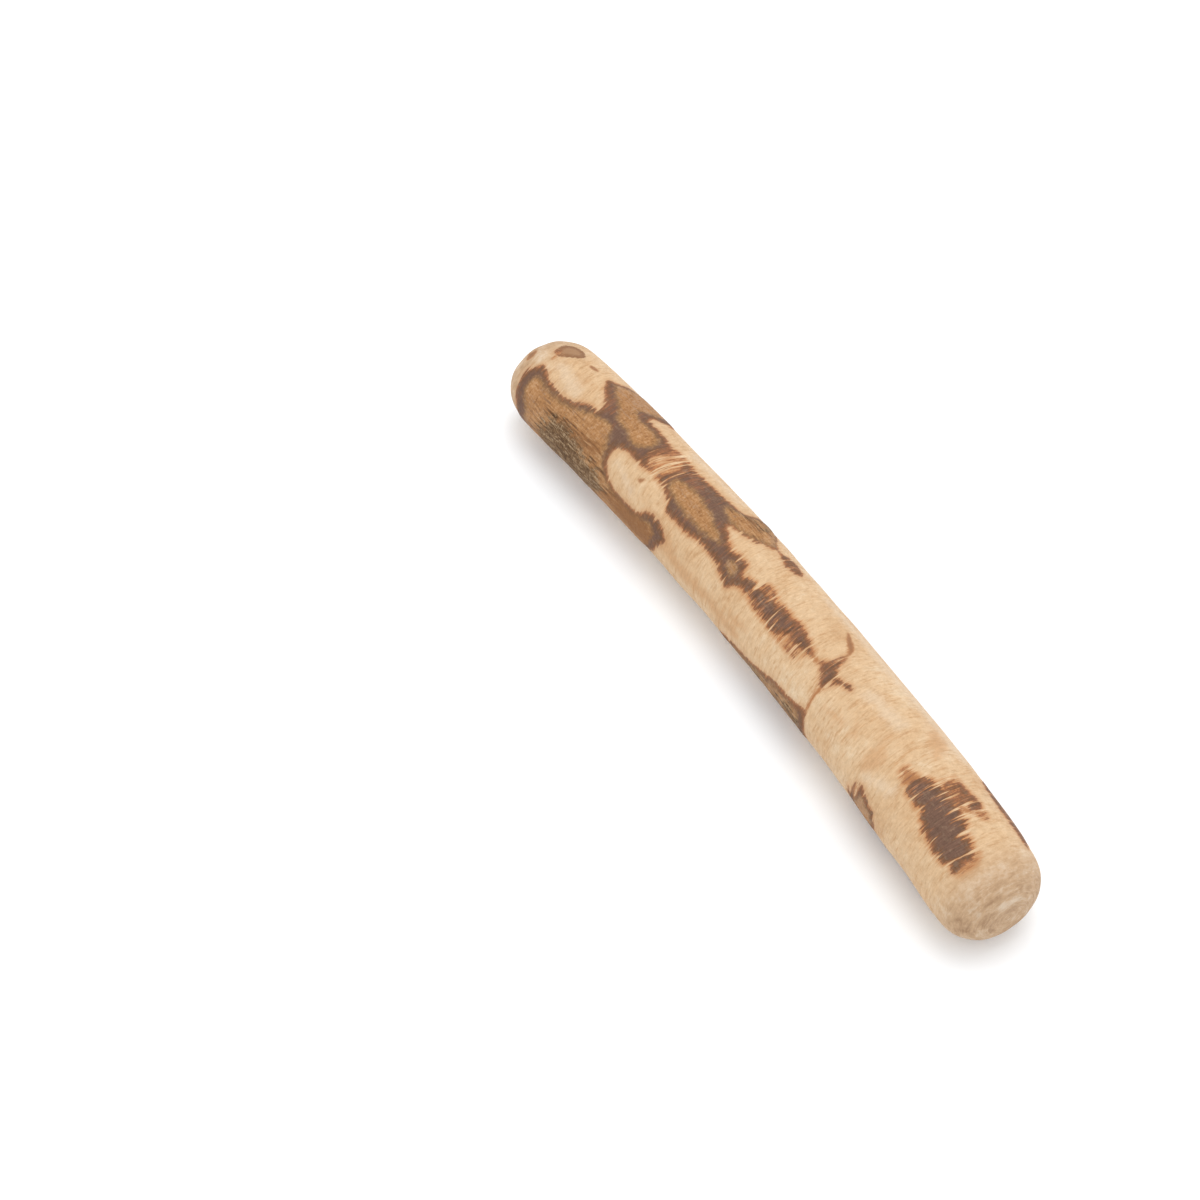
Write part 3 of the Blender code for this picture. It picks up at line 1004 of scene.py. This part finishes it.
def dark_bark(n, t, depth):
    """The stained edge and the inner bark: orange, red-brown, then dark, with streaks both ways."""
    dark = n.ramp(
        n.total((depth, 1.0), (t.mottle, 0.5), (t.marks, 0.4), (t.hairs, 0.3)),
        (-0.7, 222, 172, 122),
        (-0.25, 202, 141, 91),
        (0.1, 176, 116, 77),
        (0.5, 147, 101, 71),
        (1.1, 127, 91, 65),
        (2.0, 122, 92, 76),
    )
    streaks = n.noise((1.9, 0.13), detail=3, roughness=0.75, turn=(0, 3, 3), offset=71)
    streaks = n.times(streaks, n.math("MULTIPLY_ADD", "redness", 0.5, "tear"))
    red = n.total((t.marks, 1.3), (t.slow, 0.7), (t.hairs, 0.7), (streaks, 1.4), ("redness", 1.0))
    dark = n.mix(n.step(red, 0.0, 1.2, 0.0, 0.75), dark, (160, 107, 76))
    pale = n.step(n.total((streaks, 1.0), (t.crumbs, 0.25)), 0.35, 0.95, 0.0, 0.6)
    dark = n.mix(pale, dark, (196, 142, 100))
    at_edge = n.step(n.total((depth, 1.0), (t.mottle, 0.4)), 0.6, -0.3)
    untorn = n.step("tear", 0.95, 0.35, 0.0, 0.65)
    dark = n.mix(n.times(at_edge, untorn), dark, (174, 134, 102))
    greyer = n.step(n.total((t.fibres, 1.0), (t.mottle, 1.2), (t.slow, -0.4)), 0.1, 1.3, 0.0, 0.6)
    dark = n.mix(greyer, dark, (144, 117, 95))
    return n.shade(dark, n.total((t.fine, 0.12), (t.hairs, -0.20), (t.marks, -0.08), (streaks, 0.30)))


def golden_bark(n, t, depth):
    """The outer bark: golden brown, olive at its worn edge, and grey and cracked where it is roughest.

    It also gives how far the cracked bark shows, and the cracks.
    """
    golden = n.ramp(
        n.total((t.blotch, 0.45), (t.fine, 1.3), (t.hairs, 1.0), (t.mottle, 0.6)),
        (-1.7, 140, 95, 58),
        (-0.5, 176, 127, 81),
        (0.4, 192, 142, 95),
        (1.7, 220, 175, 131),
    )
    golden = n.mix(n.step(depth, 0.0, 1.8, 0.65, 0.0), golden, (150, 117, 79))
    # More brown where painted shade is laid towards the -Y side, paler where a painted sheen is laid near
    # the +Y silhouette
    browner_and_shaded = n.step(n.total(("golden_tone_and_painted_light", 1.0), (t.fibres, 0.5)), 0.0, 1.0, 0.0, 0.75)
    golden = n.mix(browner_and_shaded, golden, (147, 100, 62))
    paler_and_sheen = n.total(("golden_tone_and_painted_light", -1.0), (t.fibres, 1.3), (t.fine, 0.8), (t.hairs, 0.7), (t.mottle, 0.7))
    golden = n.mix(n.step(paler_and_sheen, 0.0, 1.6, 0.0, 0.75), golden, (186, 149, 118))

    near_rough = n.step("rough", -9.0, 1.0)
    flecks = n.step(n.total((t.fibres, 2.1), (t.fine, 0.8), (t.hairs, 0.3)), 0.3, 1.3)
    golden = n.mix(n.times(flecks, n.math("MULTIPLY_ADD", near_rough, 0.80, 0.12)), golden, (112, 75, 46))
    light = n.step(n.total((t.fibres, -2.0), (t.fine, -0.8)), 0.4, 1.3)
    golden = n.mix(n.times(light, n.times(near_rough, 0.65)), golden, (212, 172, 130))

    cracks = n.noise((0.24, 1.45), detail=4, roughness=0.78, turn=(0, 0, 6), distortion=0.4, offset=91)
    cross = n.noise((2.70, 0.80), detail=3, roughness=0.7, turn=(0, 0, -12), offset=95)
    lines = n.noise((0.50, 2.8), detail=4, roughness=0.75, turn=(0, 0, 5), offset=98)
    grey = n.ramp(
        n.total((cracks, 2.2), (lines, 1.7), (cross, 1.3), (t.mottle, 0.4), (t.crumbs, 0.5)),
        (-1.5, 52, 37, 26),
        (-0.2, 114, 87, 60),
        (0.6, 140, 114, 85),
        (1.6, 190, 166, 134),
    )
    rough = n.total(("rough", 0.45), (t.fibres, 0.9), (t.blotch, 0.8), (t.mottle, 0.6))
    cracked = n.step(rough, -0.3, 1.3, 0.0, 0.85)
    golden = n.mix(cracked, golden, grey)
    return golden, cracked, cracks


def bark_colour(n, t, depth):
    """The whole bark, its golden layer over its dark one, with how far its cracks show, and the cracks."""
    inside = n.total(("golden", 1.0), (t.blotch, 0.4), (t.mottle, 0.6), (t.hairs, 0.45), (t.crumbs, 0.3))
    golden, cracked, cracks = golden_bark(n, t, inside)
    shown = n.step(inside, -0.9, 1.1)
    return n.mix(shown, dark_bark(n, t, depth), golden), n.times(cracked, shown), cracks


def log_material():
    """The finish of the log: bare wood and the ends' wood, with stains and marks, and the bark over them."""
    material = bpy.data.materials.new("peeled_wood_with_bark")
    n = Nodes(material)
    t = Textures(n)
    sawn, bows = end_wood(n, t)
    wood = n.mix("end", bare_wood(n, t), sawn)

    depth = torn_depth(n, t)
    stain = n.total(("stain", 1.0), (t.marks, 0.7), (t.hairs, 0.5), (t.crumbs, 0.2))
    near_bark = n.times(n.step(depth, -1.7, -0.2), n.step("tear", 0.1, 1.0, 0.25, 0.75))
    halo = n.math("MAXIMUM", near_bark, n.step(stain, -0.7, 0.6, 0.0, 0.85))
    orange = n.ramp(n.total((stain, 1.0), (t.hairs, 0.6)), (-0.6, 203, 142, 92), (1.2, 178, 117, 72))
    wood = n.mix(halo, wood, orange)

    leaf = n.total(("leaf", 1.0), (t.crumbs, 0.25), (t.marks, 0.15), (t.mottle, 0.25))
    leaf_brown = n.ramp(leaf, (-0.2, 141, 95, 61), (0.9, 145, 101, 68), (1.9, 170, 128, 93))
    wood = n.mix(n.step(leaf, -0.35, 0.25, 0.0, 0.9), wood, leaf_brown)
    mark = n.total(("mark", 1.0), (t.crumbs, 0.15), (t.marks, 0.15))
    brown = n.ramp(mark, (-0.5, 206, 152, 106), (0.1, 176, 124, 84), (0.9, 158, 114, 80))
    wood = n.mix(n.step(mark, -0.65, 0.20, 0.0, 0.92), wood, brown)

    bark, cracked, cracks = bark_colour(n, t, depth)
    covered = n.step(depth, -0.40, 0.05)
    n.put(n.shader.inputs["Base Color"], n.mix(covered, wood, bark))

    roughness = n.total((covered, 0.10), (t.hairs, 0.03), (cracked, 0.08), ("end", 0.06))
    n.put(n.shader.inputs["Roughness"], n.math("ADD", roughness, ROUGHNESS))

    wood_relief = n.total((t.marks, 0.5), (t.hairs, 0.35), (n.times("end", bows), 0.8))
    bark_relief = n.total((t.fibres, 0.4), (t.fine, 0.6), (n.times(cracked, cracks), 1.4))
    relief = n.math("MULTIPLY_ADD", covered, n.math("SUBTRACT", bark_relief, wood_relief), wood_relief)
    bent = n.node("Bump", {"Strength": BUMP_STRENGTH, "Distance": BUMP_DISTANCE, "Height": relief})
    n.put(n.shader.inputs["Normal"], bent.outputs[0])
    n.shader.inputs["Specular IOR Level"].default_value = SPECULAR
    return material


# -------- the stage

# The camera looks down on the log from its -Y side, past its butt
LOG_MIDDLE = Vector((0, 0, (CAD_LOW[2] + CAD_HIGH[2]) / 2))
CAMERA_AZIMUTH, CAMERA_ELEVATION = math.radians(52), math.radians(52)
CAMERA_DISTANCE = 0.7732
CAMERA_LENS = 85
CAMERA_SENSOR = 36
CAMERA_AIM = Vector((-0.0285, -0.0353, LOG_MIDDLE.z))

# Lights and floor
KEY_PLACE = (-0.15, 0.26, 1.38)
KEY_SIZE = 0.9
KEY_POWER = 6.0
WORLD_STRENGTH = 1.14
FLOOR_REACH = 6.0
FLOOR_COLOUR = (0.92, 0.94, 0.96, 1.0)
FLOOR_ROUGHNESS = 0.9
FLOOR_SPECULAR = 0.1


def stand(data, place, aim):
    """Puts a camera or a light at a place, with its own -Z, along which it looks, turned towards a point."""
    thing = bpy.data.objects.new(data.name, data)
    thing.location = place
    thing.rotation_euler = (aim - thing.location).to_track_quat("-Z", "Y").to_euler()
    bpy.context.scene.collection.objects.link(thing)
    return thing


def make_camera():
    """The camera stands back from the middle of the log by CAMERA_DISTANCE, at its azimuth and elevation."""
    back = Vector(
        (
            math.sin(CAMERA_AZIMUTH) * math.cos(CAMERA_ELEVATION),
            -math.cos(CAMERA_AZIMUTH) * math.cos(CAMERA_ELEVATION),
            math.sin(CAMERA_ELEVATION),
        )
    )
    data = bpy.data.cameras.new("camera")
    data.lens = CAMERA_LENS
    data.sensor_width = CAMERA_SENSOR
    bpy.context.scene.camera = stand(data, LOG_MIDDLE + back * CAMERA_DISTANCE, CAMERA_AIM)


def make_key_light():
    """One large soft light, high above the log and a little behind it."""
    data = bpy.data.lights.new("key", "AREA")
    data.shape = "SQUARE"
    data.size = KEY_SIZE
    data.energy = KEY_POWER
    stand(data, KEY_PLACE, Vector((0, 0, 0)))


def make_floor():
    """A pale floor, wide enough to fill every view."""
    reach = FLOOR_REACH
    corners = np.array([(-reach, -reach, 0), (reach, -reach, 0), (reach, reach, 0), (-reach, reach, 0)])
    mesh = bpy.data.meshes.new("floor")
    mesh.from_pydata(corners, [], [(0, 1, 2, 3)])
    floor = bpy.data.objects.new("floor", mesh)
    material = bpy.data.materials.new("pale_floor")
    material.use_nodes = True
    shader = material.node_tree.nodes["Principled BSDF"]
    shader.inputs["Base Color"].default_value = FLOOR_COLOUR
    shader.inputs["Roughness"].default_value = FLOOR_ROUGHNESS
    shader.inputs["Specular IOR Level"].default_value = FLOOR_SPECULAR
    mesh.materials.append(material)
    bpy.context.scene.collection.objects.link(floor)


def make_world():
    """Even white light from all sides."""
    world = bpy.data.worlds.new("studio")
    world.use_nodes = True
    background = world.node_tree.nodes["Background"]
    background.inputs["Color"].default_value = (1.0, 1.0, 1.0, 1.0)
    background.inputs["Strength"].default_value = WORLD_STRENGTH
    bpy.context.scene.world = world


def make_stage():
    """The floor, the light and the camera, with colours shown as they are."""
    make_floor()
    make_world()
    make_key_light()
    bpy.context.scene.view_settings.view_transform = "Standard"
    make_camera()


# -------- putting it together


def main():
    log = make_log()
    log.data.materials.append(log_material())
    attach(log, "root")
    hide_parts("log")
    make_stage()


main()
